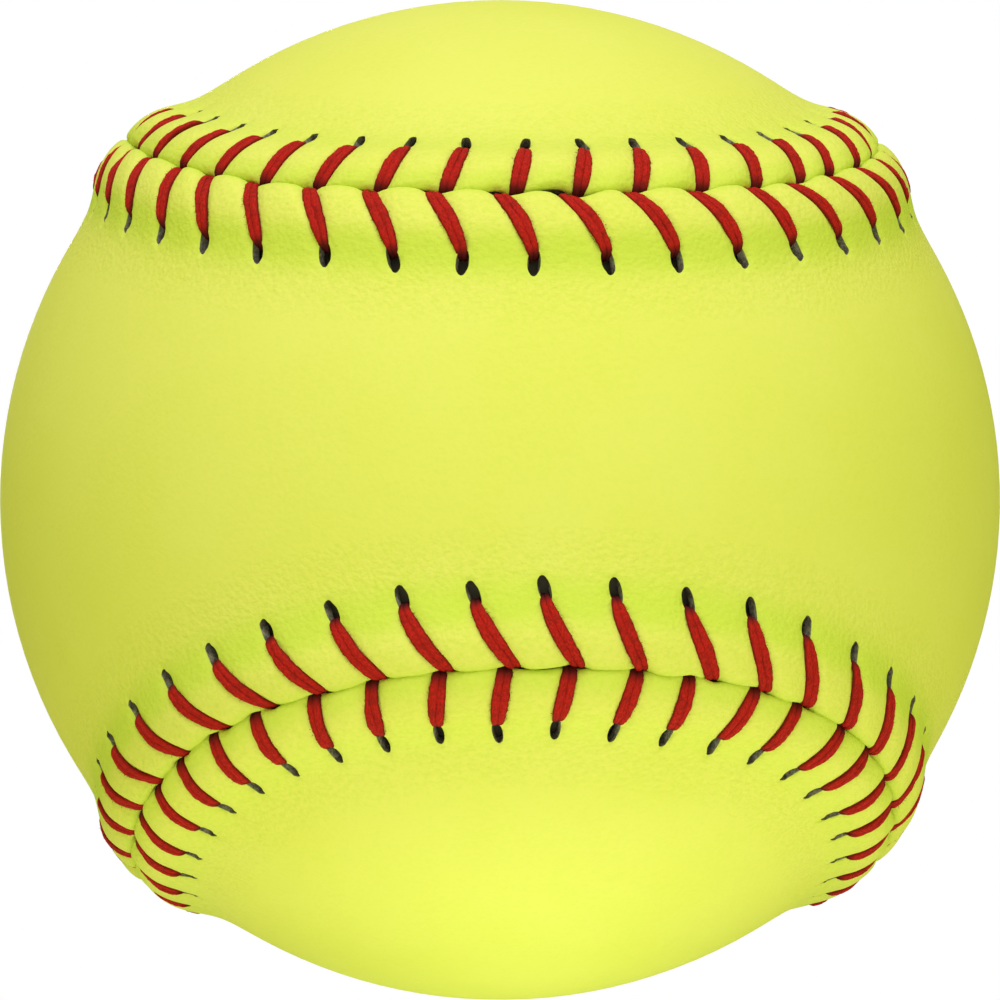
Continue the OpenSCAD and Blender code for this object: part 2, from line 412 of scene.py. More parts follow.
def lip_skin(bm, lip, other, rows, seam_uv):
    """The lip's outer face, cut edge and inner face as one bent grid. Returns the walls of its holes."""
    s, seam, side = lip.sizes, lip.seam, lip.side
    columns = seam.stitches * STITCH_COLUMNS
    outer_count, edge_count = len(rows.outer), len(rows.edge)
    inner_start = outer_count + edge_count
    all_across = np.concatenate([rows.outer, np.zeros(edge_count), rows.inner])

    def bend(column, row):
        place = column_places(column, lip)
        across = all_across[row]
        is_outer = row < outer_count
        is_edge = (row >= outer_count) & (row < inner_start)
        hole_place, hole_across, rim = oblong_holes(place, across, lip)
        shift = lip.shift(place, across, other)
        high = lip.height(hole_place, hole_across) + rim
        down = np.where(is_edge, rows.edge[np.clip(row - outer_count, 0, edge_count - 1)], 0)
        tuck = 0.35 * MM * down
        edge_high = lip.height(place, np.zeros_like(place)) - down * s.leather
        under = lip.plain_height(np.maximum(across, s.roll_radius)) - s.leather
        under = under - 0.5 * (lip.plain_height(across) + s.swell / 2 - lip.height(place, across)) * ~is_outer
        height = np.where(is_outer, high, np.where(is_edge, edge_high, under))
        width = np.where(is_edge, tuck, hole_across)
        point = seam.point(hole_place, side * (width + shift), height)
        marks = np.stack([place * seam.pitch / MM, (across + (~is_outer) * INNER_MARK * MM) / MM], 1)
        return point, marks

    bent_grid(bm, columns, len(all_across) - 1, bend, seam_uv)
    near_row = int(np.argmin(np.abs(rows.outer - lip.near)))
    far_row = int(np.argmin(np.abs(rows.outer - lip.far)))
    near_inner = inner_start + int(np.argmin(np.abs(rows.inner - lip.near)))
    wide = columns + 1
    # The faces to take out, by the hole's number and whether they lie on the inner face
    holes = {}
    for face in bm.faces:
        spots = [v.index for v in face.verts]
        column = min(spot % wide for spot in spots)
        row = min(spot // wide for spot in spots)
        if column % STITCH_COLUMNS < HOLE_COLUMNS and (far_row <= row < near_row or row == near_inner):
            holes.setdefault((column // STITCH_COLUMNS, row == near_inner), []).append(face)
    borders = {
        key: [e for face in faces for e in face.edges if sum(near in faces for near in e.link_faces) == 1]
        for key, faces in holes.items()
    }
    bmesh.ops.delete(bm, geom=[face for faces in holes.values() for face in faces], context="FACES_ONLY")
    walls = []
    for index in range(seam.stitches):
        made = bmesh.ops.bridge_loops(bm, edges=borders[(index, False)] + borders[(index, True)])
        walls += made["faces"]
    return walls


def dumbbell_fill(bm, seam, side, across, height, seam_uv, mark):
    """The middle of a panel: strips straight across, from one foot of the lip to the foot opposite."""
    columns = seam.stitches * APRON_COLUMNS
    half = columns // 2
    tip = (3 if side == FRONT else 1) * seam.stitches * APRON_COLUMNS // 8
    places = np.arange(columns) / APRON_COLUMNS
    feet = unit(seam.point(places, np.full(columns, side * across), np.zeros(columns)))

    def bend(column, row):
        share = (row / FILL_ROWS)[:, None]
        start = feet[(tip - column) % columns]
        end = feet[(tip + column) % columns]
        span = np.arccos(np.clip(np.sum(start * end, 1), -1, 1))[:, None]
        blend = np.sin(span)
        near = span < 1e-5
        blend[near] = 1
        point = (np.sin((1 - share) * span) * start + np.sin(share * span) * end) / blend
        point = np.where(near, start, point)
        marks = np.stack([np.zeros(len(row)), np.full(len(row), mark)], 1)
        return (seam.radius + height) * unit(point), marks

    bent_grid(bm, half, FILL_ROWS, bend, seam_uv)


def apron(bm, lip, across_rows, heights, seam_uv):
    """A few coarse rows that carry the lip's foot into the smooth middle of the panel."""
    seam, side = lip.seam, lip.side
    columns = seam.stitches * APRON_COLUMNS

    def bend(column, row):
        place = column / APRON_COLUMNS
        across = across_rows[row]
        point = seam.point(place, side * across, heights[row])
        return point, np.stack([place * seam.pitch / MM, across / MM], 1)

    bent_grid(bm, columns, len(across_rows) - 1, bend, seam_uv)


def border_loops(bm):
    """The open loops of edges left in the skin, each as a list."""
    todo = dict.fromkeys(edge for edge in bm.edges if edge.is_boundary)
    loops = []
    while todo:
        grow = [todo.popitem()[0]]
        loop = list(grow)
        while grow:
            for vert in grow.pop().verts:
                for near in vert.link_edges:
                    if near in todo:
                        del todo[near]
                        loop.append(near)
                        grow.append(near)
        loops.append(loop)
    return loops


def leather_panel(context, side, materials):
    """One closed panel: its lip with the holes and their walls, and its outer and inner middle."""
    seam, lips = make_lips(context)
    lip = lips[side]
    rows = lip_rows(lip)
    bm = bmesh.new()
    seam_uv = bm.loops.layers.uv.new("seam")
    for face in lip_skin(bm, lip, lips[-side], rows, seam_uv):
        middle = face.calc_center_median().length
        for loop in face.loops:
            at_rim = loop.vert.co.length > middle
            loop[seam_uv].uv = (0, WALL_RIM_MARK if at_rim else WALL_FOOT_MARK)
    steps = np.linspace(rows.apron + 0.5 * MM, lip.sizes.foot_across, 4)
    heights = lip.plain_height(steps)
    apron(bm, lip, steps, heights, seam_uv)
    dumbbell_fill(bm, seam, side, steps[-1], heights[-1], seam_uv, FILL_MARK)
    dumbbell_fill(bm, seam, side, steps[0], heights[0] - lip.sizes.leather, seam_uv, INNER_FILL_MARK)
    bmesh.ops.remove_doubles(bm, verts=bm.verts, dist=0.002 * MM)

    def radius_of(loop):
        return sum(v.co.length for e in loop for v in e.verts) / len(loop) / 2

    # Four open loops are left, two on the inner side and two on the outer side
    loops = sorted(border_loops(bm), key=radius_of)
    for pair in (loops[:2], loops[2:]):
        bmesh.ops.bridge_loops(bm, edges=pair[0] + pair[1])
    bmesh.ops.recalc_face_normals(bm, faces=bm.faces)
    for face in bm.faces:
        if min(loop[seam_uv].uv.y for loop in face.loops) > INNER_MARK - 1:
            face.material_index = RAW
    name = SIDES[side].name
    piece = finish_piece(bm, name + "_cover_leather", materials)
    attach(piece, "root")
    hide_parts(name + "_cover_panel")


# Thread

def smooth_path(points, steps):
    """Catmull-Rom through the points, open at both ends."""
    before = np.concatenate([points[:1], points[:-1]])
    after = np.concatenate([points[1:], points[-1:]])
    beyond = np.concatenate([points[2:], points[-1:], points[-1:]])
    parts = []
    for k in range(steps):
        t = k / steps
        parts.append(0.5 * (
            2 * points + (after - before) * t
            + (2 * before - 5 * points + 4 * after - beyond) * t ** 2
            + (3 * points - before - 3 * after + beyond) * t ** 3
        ))
    path = np.stack(parts, 1).reshape(-1, points.shape[1])
    return path[:len(path) - steps + 1]


# Corners of a run's path for each key point, corners round a ply, and loose fibres on a run
PATH_STEPS = 3
PLY_SIDES = 10
LOOSE_FIBRES = 4500

# One stitch of the thread: share of the distance to the hole's near end, distance past that in
# millimetres, where it lies, and its share of full width
STITCH_KEYS = (
    (1.00, -0.70, "under", 0.66),
    (1.00, 0.34, "deep", 0.62),
    (1.00, 0.42, "mouth", 0.66),
    (1.00, 0.12, "bend", 0.76),
    (0.95, 0.00, "lip", 0.84),
    (0.84, 0.00, "lip", 0.94),
    (0.68, 0.00, "lip", 0.99),
    (0.52, 0.00, "lip", 1.00),
    (0.38, 0.00, "lip", 0.99),
    (0.24, 0.00, "lip", 0.96),
    (0.12, 0.00, "tuck", 0.92),
    (0.04, 0.00, "dive", 0.88),
    (-0.015, 0.00, "groove", 0.74),
    (-0.18, 0.00, "turn", 0.66),
)
# How much painted shade each part of a stitch gets, where it goes into the holes and the groove, and how much
# more a back leg gets where it goes under the front lip
PAINTED_STITCH_SHADE = {
    "under": 1.0, "deep": 1.0, "mouth": 0.9, "bend": 0.45, "lip": 0.0,
    "tuck": 0.1, "dive": 0.4, "groove": 0.9, "turn": 1.0,
}
BACK_PAINTED_STITCH_SHADE = 0.62
# How much closer to the groove the thread goes into the back holes
BACK_NEARER = 0.25 * MM


def thread_keys(seam, lips, first_side, thread):
    """Key points of one run of thread, with its width, painted shade and distance from the hole in
    millimetres.
    """
    rows = []
    for index in range(seam.stitches):
        side = first_side if index % 2 == 0 else -first_side
        lip = lips[side]
        leather = lip.sizes.leather
        half = thread.ply_height / 2
        number = np.array([index])
        near = lip.near + lip.reach[number][0] - (side == BACK) * BACK_NEARER
        for share, past, kind, width in STITCH_KEYS:
            across = np.array([share * near + past * MM])
            on_lip = np.maximum(across, 0)
            place = lip.leg_place(number, on_lip)
            if share < 0:
                place = place - share * 0.25
            leather_high = lip.height(place, on_lip)[0]
            height = {
                "under": lip.plain_height(np.abs(across))[0] - leather - 0.35 * MM,
                "deep": leather_high - leather,
                "mouth": leather_high - 0.22 * MM,
                "bend": leather_high + 0.6 * half,
                "lip": leather_high + 0.9 * half,
                "tuck": leather_high + 0.8 * half,
                "dive": leather_high + 0.3 * half,
                "groove": 0.12 * MM,
                "turn": -0.75 * MM,
            }[kind]
            drawn = kind in ("lip", "tuck", "dive")
            shift = lip.shift(place, on_lip, lips[-side])[0] if drawn else 0
            # Painted shade, with more on a back leg as it goes under the front lip
            painted_shade = PAINTED_STITCH_SHADE[kind] + (side == BACK) * BACK_PAINTED_STITCH_SHADE * float(soft_step(share, 0.45, 0.0))
            from_hole = (near - across[0]) / MM
            rows.append((place[0], side * (across[0] + 0.5 * shift), height, width, min(painted_shade, 1), from_hole))
    return np.array(rows)


def loose_fibres(bm, run, from_hole, seed, maps):
    """Short fine fibres that stand out of the thread's sides where it crosses the lips."""
    centre, wide, thick, half_wide, half_high = run
    draw = np.random.default_rng(seed)
    count = LOOSE_FIBRES
    spot = draw.choice(np.flatnonzero((from_hole > 0.1) & (from_hole < 5.0)), count)
    turn = math.pi / 2 * (1 + draw.choice((-1, 1), count) * draw.uniform(0.3, 1.15, count))
    over, out = np.cos(turn), np.sin(turn)
    root = centre[spot] + steer(over * half_wide[spot], wide[spot], out * half_high[spot], thick[spot])
    way = unit(steer(over, wide[spot], out, thick[spot]) + draw.normal(0, 0.45, (count, 3)))
    side = unit(np.cross(way, centre[spot]))
    reach = draw.uniform(0.08, 0.34, count) * MM
    thickness = 0.02 * MM

    # Each fibre takes four columns of one grid, three sides and the seam, and three rows, root to tip
    def bend(column, row):
        number = column // 4
        turn = (column % 4) * math.tau / 3
        thin = thickness * (row == 1)
        ring = steer(np.cos(turn), side[number], np.sin(turn), np.cross(way, side)[number])
        along = np.choose(row, (0, 0.1, 1))
        return root[number] + steer(thin, ring, reach[number] * along, way[number]), np.zeros((len(row), 4))

    columns = 4 * count - 1
    verts = bent_grid(bm, columns, 2, bend, *maps)
    between = [
        face for face in {f for v in verts for f in v.link_faces}
        if min(v.index % (columns + 1) for v in face.verts) % 4 == 3
    ]
    bmesh.ops.delete(bm, geom=between, context="FACES_ONLY")
    bmesh.ops.remove_doubles(bm, verts=verts, dist=0.0001 * MM)


def thread_run(context, first_side, name, node, material):
    """One run of thread, which starts on one panel and takes a stitch from each in turn."""
    seam, lips = make_lips(context)
    thread = context.scene.softball_thread
    keys = thread_keys(seam, lips, first_side, thread)
    points = seam.point(keys[:, 0], keys[:, 1], keys[:, 2])
    _, ahead, _ = seam.frames(keys[:, 0])
    path = smooth_path(np.concatenate([points, ahead, keys[:, 3:]], 1), PATH_STEPS)
    centre, ahead, width, shade_and_hole_distance = path[:, :3], path[:, 3:6], path[:, 6], path[:, 7:9]
    way = unit(np.gradient(centre, axis=0))
    wide = unit(ahead - np.sum(ahead * way, 1)[:, None] * way)
    thick = np.cross(way, wide)
    reach = np.concatenate([[0], np.cumsum(np.linalg.norm(np.diff(centre, axis=0), axis=1))])
    seed = 5 if first_side == FRONT else 6

    def stray(seed, count):
        values = np.random.default_rng(seed).normal(0, 1, count)
        return np.interp(reach, np.linspace(0, reach[-1], count), values)

    twist = thread.twist * stray(seed, 900)
    swell = 1 + 0.05 * stray(seed + 10, 2500)
    bm = bmesh.new()
    seam_uv = bm.loops.layers.uv.new("seam")
    shade_and_hole_distance_uv = bm.loops.layers.uv.new("shade_and_hole_distance")
    half_wide = thread.ply_width / 2 * width * swell
    half_high = thread.ply_height / 2 * (0.4 + 0.6 * width) * swell
    for ply in (-1, 1):
        offset = ply * thread.ply_width * thread.ply_offset * width
        middle = centre + steer(np.cos(twist) * offset, wide, np.sin(twist) * offset * 0.6, thick)
        rough = 1 + np.random.default_rng(seed + 30 + ply).normal(0, 0.05, (len(centre), PLY_SIDES))

        def bend(column, row):
            turn = math.tau * row / PLY_SIDES
            uneven = rough[column, row % PLY_SIDES]
            over = np.cos(turn) * half_wide[column] * uneven
            out = np.sin(turn) * half_high[column] * uneven
            edge = steer(over, wide[column], out, thick[column])
            marks = np.stack([reach[column] / MM, row / PLY_SIDES + (ply + 1) * 2], 1)
            return middle[column] + edge, np.concatenate([marks, shade_and_hole_distance[column]], 1)

        verts = bent_grid(bm, len(centre) - 1, PLY_SIDES, bend, seam_uv, shade_and_hole_distance_uv)
        bmesh.ops.remove_doubles(bm, verts=verts, dist=0.001 * MM)
    for loop in border_loops(bm):
        bmesh.ops.contextual_create(bm, geom=loop)
    run = (centre, wide, thick, half_wide * 1.8, half_high)
    loose_fibres(bm, run, shade_and_hole_distance[:, 1], seed + 50, (seam_uv, shade_and_hole_distance_uv))
    bmesh.ops.recalc_face_normals(bm, faces=bm.faces)
    piece = finish_piece(bm, name, [material], sharp_degrees=80)
    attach(piece, "root")
    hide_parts(node)


# Node trees

class Number:
    """A number in a node tree: Python's arithmetic on it adds Math nodes."""

    def __init__(self, tree, socket):
        self.tree = tree
        self.socket = socket

    def math(self, operation, *others):
        return self.tree.number("Math", dict(enumerate((self, *others))), operation=operation)

    def __add__(self, other):
        return self.math("ADD", other)

    def __sub__(self, other):
        return self.math("SUBTRACT", other)

    def __rsub__(self, other):
        return self.tree.number("Math", {0: other, 1: self}, operation="SUBTRACT")

    def __mul__(self, other):
        return self.math("MULTIPLY", other)

    def __pow__(self, other):
        return self.math("POWER", other)

    __radd__ = __add__
    __rmul__ = __mul__

    def between(self, low, high):
        """0 at low, 1 at high, and smooth between."""
        inputs = {"Value": self, "From Min": low, "From Max": high}
        return self.tree.number("MapRange", inputs, interpolation_type="SMOOTHSTEP")


class Tree:
    """The node tree of one material, or of the world."""

    def __init__(self, name, home=None):
        self.material = home or bpy.data.materials.new(name)
        self.material.use_nodes = True
        self.nodes = self.material.node_tree.nodes
        self.links = self.material.node_tree.links
        self.nodes.clear()

    def node(self, kind, inputs=None, **settings):
        """Adds a node, sets its settings, then sets or links its inputs."""
        node = self.nodes.new("ShaderNode" + kind)
        for key, value in settings.items():
            setattr(node, key, value)
        for key, value in (inputs or {}).items():
            socket = node.inputs[key]
            if isinstance(value, Number):
                self.links.new(value.socket, socket)
            elif isinstance(value, bpy.types.NodeSocket):
                self.links.new(value, socket)
            elif isinstance(value, bpy.types.Node):
                self.links.new(value.outputs[0], socket)
            else:
                socket.default_value = value
        return node

    def number(self, kind, inputs=None, output=0, **settings):
        return Number(self, self.node(kind, inputs, **settings).outputs[output])

    def mix(self, factor, first, second):
        """A colour: the first where the factor is 0 and the second where it is 1."""
        return self.node("Mix", {0: factor, 6: first, 7: second}, data_type="RGBA").outputs[2]

    def bump(self, height, strength, distance):
        return self.node("Bump", {"Height": height, "Strength": strength, "Distance": distance})

    def surface(self, inputs):
        shader = self.node("BsdfPrincipled", inputs)
        self.node("OutputMaterial", {"Surface": shader})
        return self.material

    def object_point(self):
        return self.node("TexCoord").outputs["Object"]

    def map_point(self, name):
        """The seam map holds millimetres along and across the seam, or along and round the thread."""
        return self.node("UVMap", uv_map=name)

    def part(self, point, axis):
        return self.number("SeparateXYZ", {0: point}, axis)

    def scaled(self, point, scale):
        return self.node("VectorMath", {0: point, 1: scale}, operation="MULTIPLY")

    def noise(self, point, scale, detail=2.0, roughness=0.5):
        return self.number("TexNoise", {
            "Vector": point, "Scale": scale, "Detail": detail, "Roughness": roughness})


def cover_leather(look, side):
    """Dyed leather: fine wrinkled grain, strongest on the lips, with painted shade that makes it greener and
    darker in the hollows beside the lips, on the edges that roll into the groove and in the creases of the
    wrinkles.
    """
    name = SIDES[side].name
    tree = Tree("dyed_leather_" + name)
    point = tree.object_point()
    across = tree.part(tree.map_point("seam"), 1)
    near_seam = 1 - across.between(8.5, 15.0)
    patches = tree.noise(point, 70.0, 3.0)
    wrinkles = tree.noise(tree.scaled(point, (0.75, 1.0, 1.15)), 2200.0, 3.0, 0.6)
    pebbles = tree.number("TexVoronoi", {"Vector": point, "Scale": 1900.0})
    # Painted shade: the hollows at the lip's foot, deeper on the front panel, and the edges beside the
    # groove, wider on the back panel, are mixed towards the leather's darker, greener copy
    hollow = across.between(3.2, 5.2) * (1 - across.between(6.0, 9.5))
    painted_groove_shade = 1 - (across.between(0.1, 1.1) if side == FRONT else across.between(0.6, 2.6))
    base = tree.mix(patches.between(0.3, 0.7), look.leather, look.leather_deep)
    base = tree.mix(hollow * getattr(look, name + "_hollow") + painted_groove_shade * 0.45, base, look.leather_shade)
    # Painted shade: the creases of the wrinkles are mixed towards the leather's darker copy, most near the
    # seam
    base = tree.mix((1 - wrinkles.between(0.3, 0.6)) * (near_seam * 0.2 + 0.1), base, look.leather_shade)
    grain = (wrinkles - pebbles * 0.7) * (near_seam * 0.7 + patches * 0.4)
    return tree.surface({
        "Base Color": base, "Roughness": patches * 0.1 + 0.62, "Specular IOR Level": 0.02,
        "Normal": tree.bump(grain, 0.65, 0.15 * MM)})


def raw_leather(look):
    """The undyed middle of the leather in the cut edges, and the walls of the holes, dyed at their rims."""
    tree = Tree("raw_leather")
    point = tree.object_point()
    depth = tree.part(tree.map_point("seam"), 1)
    fibres = tree.noise(point, 2600.0, 4.0, 0.7)
    wall = depth.math("GREATER_THAN", WALL_RIM_MARK - 0.01) * depth.math("LESS_THAN", WALL_FOOT_MARK + 0.01)
    rim = wall * (1 - (depth + fibres * 0.12).between(WALL_RIM_MARK + 0.08, WALL_RIM_MARK + 0.2))
    base = tree.mix(fibres.between(0.3, 0.7), look.raw_edge, look.raw_edge_dark)
    # The rims take a little of the leather's dye, in its darker copy with painted shade
    base = tree.mix(rim * 0.12, base, look.leather_shade)
    return tree.surface({
        "Base Color": base, "Roughness": 0.9, "Specular IOR Level": 0.1,
        "Normal": tree.bump(fibres, 0.6, 0.1 * MM)})


def seam_thread(look):
    """Waxed thread: fibres wound round each ply, with painted shade on the sides of the plies, between them,
    and where the thread goes into the holes and the groove and under the front lip.
    """
    tree = Tree("waxed_thread")
    mark = tree.map_point("seam")
    fibres = tree.noise(tree.scaled(mark, (3.2, 15.0, 1.0)), 1.0, 4.0, 0.7)
    blotches = tree.noise(tree.scaled(mark, (1.3, 2.0, 1.0)), 1.0, 2.0)
    painted_shade = tree.part(tree.map_point("shade_and_hole_distance"), 0)
    # The map counts turns round each ply from its side, so this is 1 on its sides and 0 on top. Painted shade
    # darkens the sides of each ply and the valley between the plies.
    painted_ply_shade = (tree.part(mark, 1) * math.tau).math("COSINE")
    base = tree.mix(fibres.between(0.2, 0.72), look.thread_deep, look.thread)
    base = tree.mix(blotches.between(0.5, 0.75) * 0.45, base, look.thread_deep)
    base = tree.mix((painted_ply_shade * painted_ply_shade).between(0.35, 1.0) * 0.75, base, look.thread_deep)
    # Painted shade where the thread goes into the holes and the groove and under the front lip
    base = tree.mix((painted_shade + fibres * 0.5 - 0.25).between(0.15, 0.95), base, look.thread_soil)
    return tree.surface({
        "Base Color": base, "Roughness": 0.72, "Specular IOR Level": 0.08,
        "Normal": tree.bump(fibres + blotches * 0.4, 0.7, 0.12 * MM)})


def cement_finish(look):
    """A brushed coat of dried cement, dull and slightly streaked, in colours darkened to paint the shade at
    the bottoms of the holes.
    """
    tree = Tree("brushed_cement")
    point = tree.object_point()
    streaks = tree.noise(tree.scaled(point, (1.0, 1.0, 6.0)), 160.0, 4.0)
    base = tree.mix(streaks, look.cement, look.cement_dark)
    return tree.surface({
        "Base Color": base, "Roughness": 0.7, "Normal": tree.bump(streaks, 0.4, 0.2 * MM)})


def core_finish(look):
    """Moulded foam with a fine open skin."""
    tree = Tree("moulded_foam")
    point = tree.object_point()
    pores = tree.number("TexVoronoi", {"Vector": point, "Scale": 900.0})
    base = tree.mix(pores, look.core, look.core_dark)
    return tree.surface({
        "Base Color": base, "Roughness": 0.8, "Normal": tree.bump(pores, 0.3, 0.1 * MM)})


# Stage

# Tints of the light from behind at the sides, from the front at the sides, and from between them
BEHIND_TINT = (1, 0.85, 0.1, 1)
SIDE_TINT = (0.92, 1, 0.02, 1)
MIDDLE_TINT = (1, 1, 0.95, 1)


def directions(tree, point):
    """How far light comes from the right, from between left and right, and from the front."""
    way = tree.node("VectorMath", {0: point}, operation="NORMALIZE")
    right = tree.part(way, 0)
    return right, (1 - right * right) ** 2.0, 1 - tree.part(way, 1).between(-0.55, 0.35)


def floor_finish(stage):
    """A plain pale floor, which also glows with painted light that only diffuse rays see. Seen from below it
    lets the view through, because the view is a little low.
    """
    tree = Tree("floor")
    paint = tree.node("BsdfDiffuse", {"Color": (0.72, 0.72, 0.44, 1)})
    rays = tree.node("LightPath")
    facing = tree.node("NewGeometry")
    camera = Number(tree, rays.outputs["Is Camera Ray"])
    soft = Number(tree, rays.outputs["Is Diffuse Ray"])
    point = tree.object_point()
    # Painted light: the floor glows for diffuse rays, most under the ball and in front of it, in place of the
    # light that a glossy white table would throw back
    reach = tree.number("VectorMath", {0: point}, 1, operation="LENGTH")
    pool = 1 - reach.between(0.045, 0.11)
    right, middle, front = directions(tree, point)
    spread = middle * (front * (stage.front_bounce - stage.floor_glow) + stage.floor_glow)
    spread = spread + front * (right * stage.right_floor_glow + stage.wide_floor_glow)
    strength = soft * (pool * stage.pool + spread) + camera * stage.floor_white
    glow = tree.node("Emission", {"Color": (0.97, 0.95, 1.06, 1), "Strength": strength})
    lit = tree.node("AddShader", {0: paint, 1: glow})
    from_below = camera * Number(tree, facing.outputs["Backfacing"])
    clear = tree.node("BsdfTransparent")
    mixed = tree.node("MixShader", {0: from_below, 1: lit, 2: clear})
    tree.node("OutputMaterial", {"Surface": mixed})
    tree.material.cycles.emission_sampling = "NONE"
    return tree.material


def white_world(stage):
    """Soft light, weaker from behind and yellow from the sides. The camera, gloss and glass see it white."""
    world = bpy.data.worlds.new("studio")
    tree = Tree("studio", world)
    rays = tree.node("LightPath")
    seen = Number(tree, rays.outputs["Is Camera Ray"])
    for kind in ("Is Glossy Ray", "Is Transmission Ray"):
        seen = seen.math("MAXIMUM", Number(tree, rays.outputs[kind]))
    right, middle, front = directions(tree, tree.node("TexCoord").outputs["Generated"])
    tint = tree.mix(middle * middle, tree.mix(front, BEHIND_TINT, SIDE_TINT), MIDDLE_TINT)
    before = middle * (stage.world - stage.side_world) + right * stage.right_world + stage.side_world
    behind = middle * (stage.world_behind - stage.side_behind) + stage.side_behind
    soft = tree.node("Background", {
        "Color": tint, "Strength": front * before + (1 - front) * behind})
    white = tree.node("Background", {"Color": (1, 1, 1, 1), "Strength": 1.0})
    mixed = tree.node("MixShader", {0: seen, 1: soft, 2: white})
    tree.node("OutputWorld", {"Surface": mixed})
    bpy.context.scene.world = world


def area_light(name, power, place, size, colour):
    """A round soft lamp that points at the ball's middle."""
    lamp = bpy.data.lights.new(name, "AREA")
    lamp.color = colour
    lamp.shape = "DISK"
    lamp.size = size
    lamp.energy = power
    holder = bpy.data.objects.new(name, lamp)
    holder.location = place
    holder.rotation_euler = (-Vector(place)).to_track_quat("-Z", "Y").to_euler()
    bpy.context.scene.collection.objects.link(holder)


# Properties

def plain(name, default, description, **kind):
    return FloatProperty(name=name, description=description, default=default, **kind)


def share(name, default, description):
    return plain(name, default, description, subtype="FACTOR", min=0, max=1)


def length(name, default, description):
    return plain(name, default, description, unit="LENGTH", precision=5)


def angle(name, degrees, description):
    return plain(name, math.radians(degrees), description, subtype="ANGLE")


def power(name, watts, description):
    return plain(name, watts, description, unit="POWER")


def colour(name, default, description):
    return FloatVectorProperty(
        name=name, description=description, default=(*default, 1), size=4, subtype="COLOR", min=0, max=1)


class CoverProperties(bpy.types.PropertyGroup):
    """Shape of the seam line and of the leather beside it."""

    stitches: IntProperty(name="Stitches", description="Stitches round each panel", default=88)
    crowding: plain("Crowding", 0.24, "How far stitches gather towards the waists, in stitches")
    wave: share("Wave", 0.297, "Part of the seam's swing from its three-lobed wave")
    fullness: share("Fullness", 0.036, "Part of the seam's swing that fills out the lobes")
    leather: length("Leather", 1.3 * MM, "Thickness of the leather")
    lip_height: length("Lip height", 2.0 * MM, "Height of the crest over the smooth leather")
    crest_across: length("Crest", 2.5 * MM, "Distance from the groove to the crest")
    inner_spread: length("Inner spread", 4.2 * MM, "How far the crest falls away towards the groove")
    outer_spread: length("Outer spread", 3.8 * MM, "How far the crest falls away towards the foot")
    roll_radius: length("Roll", 0.55 * MM, "Radius of the leather as it rolls into the groove")
    foot_across: length("Foot", 12.5 * MM, "Distance from the groove to the end of the lip's foot")
    groove_gap: length("Groove gap", -0.22 * MM, "Least gap between the edges, which press into each other")
    slack_gap: length("Slack gap", 0.32 * MM, "Half of what the slack stretches near the waists add to it")
    pull: length("Pull", 0.28 * MM, "How far each thread draws the edges its own way")
    front_hole_across: length("Front hole", 6.3 * MM, "Distance from the groove to a front hole's middle")
    back_hole_across: length("Back hole", 6.2 * MM, "Distance from the groove to a back hole's middle")
    front_hole_length: length("Front hole length", 2.45 * MM, "Length of a front hole across the seam")
    back_hole_length: length("Back hole length", 2.5 * MM, "Length of a back hole across the seam")
    hole_width: length("Hole width", 1.12 * MM, "Width of a hole along the seam")
    press_depth: length("Press", 0.38 * MM, "How deep the thread presses into the leather")
    press_width: length("Press width", 1.0 * MM, "Half the width of leather that the thread presses in")
    swell: length("Swell", 0.14 * MM, "How far the leather swells between the stitches")
    groove_swell: length("Groove swell", 0.5 * MM, "How much further it swells beside the groove")


class ThreadProperties(bpy.types.PropertyGroup):
    """The thread and how it lies."""

    ply_width: length("Ply width", 0.9 * MM, "Width of one of the two plies")
    ply_height: length("Ply height", 0.6 * MM, "Height of a ply")
    ply_offset: plain("Ply offset", 0.37, "Distance of a ply from the middle, in ply widths")
    twist: angle("Twist", 16, "Wander of the plies round each other")
    front_hole: plain("Front holes", 0.04, "Place of the front panel's holes, in stitches")
    back_hole: plain("Back holes", 0.19, "Place of the back panel's holes, in stitches")
    hole_drift: plain("Hole drift", 0.05, "How far the back holes wander round the ball, in stitches")
    front_swing: plain("Front swing", 0.09, "How far the front holes gather to one end of each waist")
    back_swing: plain("Back swing", 0.13, "How far the back holes gather to one end of each waist")
    front_slant: plain("Front slant", 0.55, "How far a front leg leans along the seam, in stitches")
    back_slant: plain("Back slant", 0.215, "How far a back leg leans along the seam, in stitches")
    waist_reach: length("Waist reach", 0.6 * MM, "How much further the front holes lie out at their waist")


